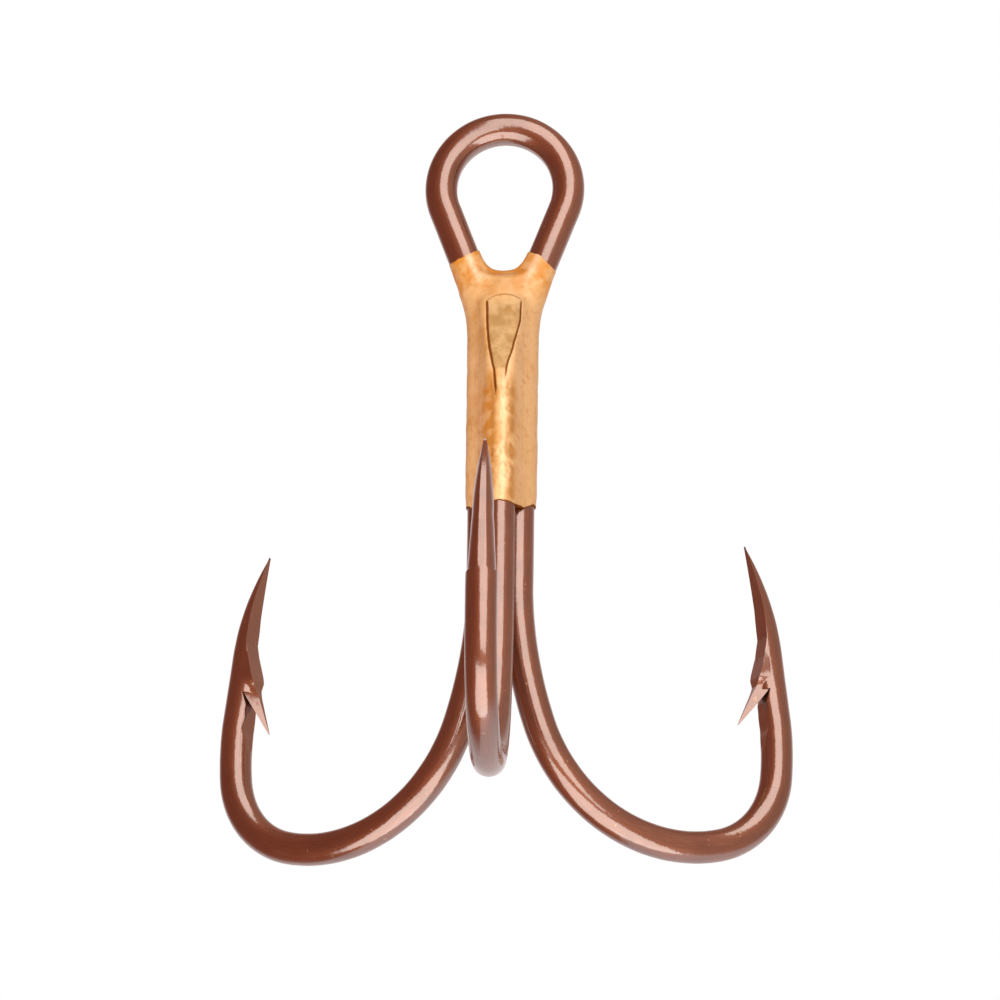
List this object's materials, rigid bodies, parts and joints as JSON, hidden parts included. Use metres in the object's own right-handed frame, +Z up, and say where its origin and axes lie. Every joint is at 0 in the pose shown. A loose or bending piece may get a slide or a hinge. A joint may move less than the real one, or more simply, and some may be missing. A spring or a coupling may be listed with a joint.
{
  "type": "treble hook",
  "caption": "Treble fishing hook: barbed wire hooks spread evenly around a brazed shank, with a teardrop wire eye at the top.",
  "frame": {"origin": "centre of the eye's round crown, in the plane of the eye wire", "axes": "+Z up the shank with the eye on top, +X to the right across the eye, -Y towards the single hook"},
  "size_m": [0.0248, 0.0216, 0.0328],
  "materials": {
    "bronze": "thin clear bronze lacquer over polished steel wire, glossy",
    "braze": "satin gold brazing metal under the same lacquer, uneven and slightly pitted"
  },
  "bodies": {
    "root": {"double_hook": "bronze", "single_hook": "bronze", "braze_collar": "braze"}
  },
  "joints": []
}
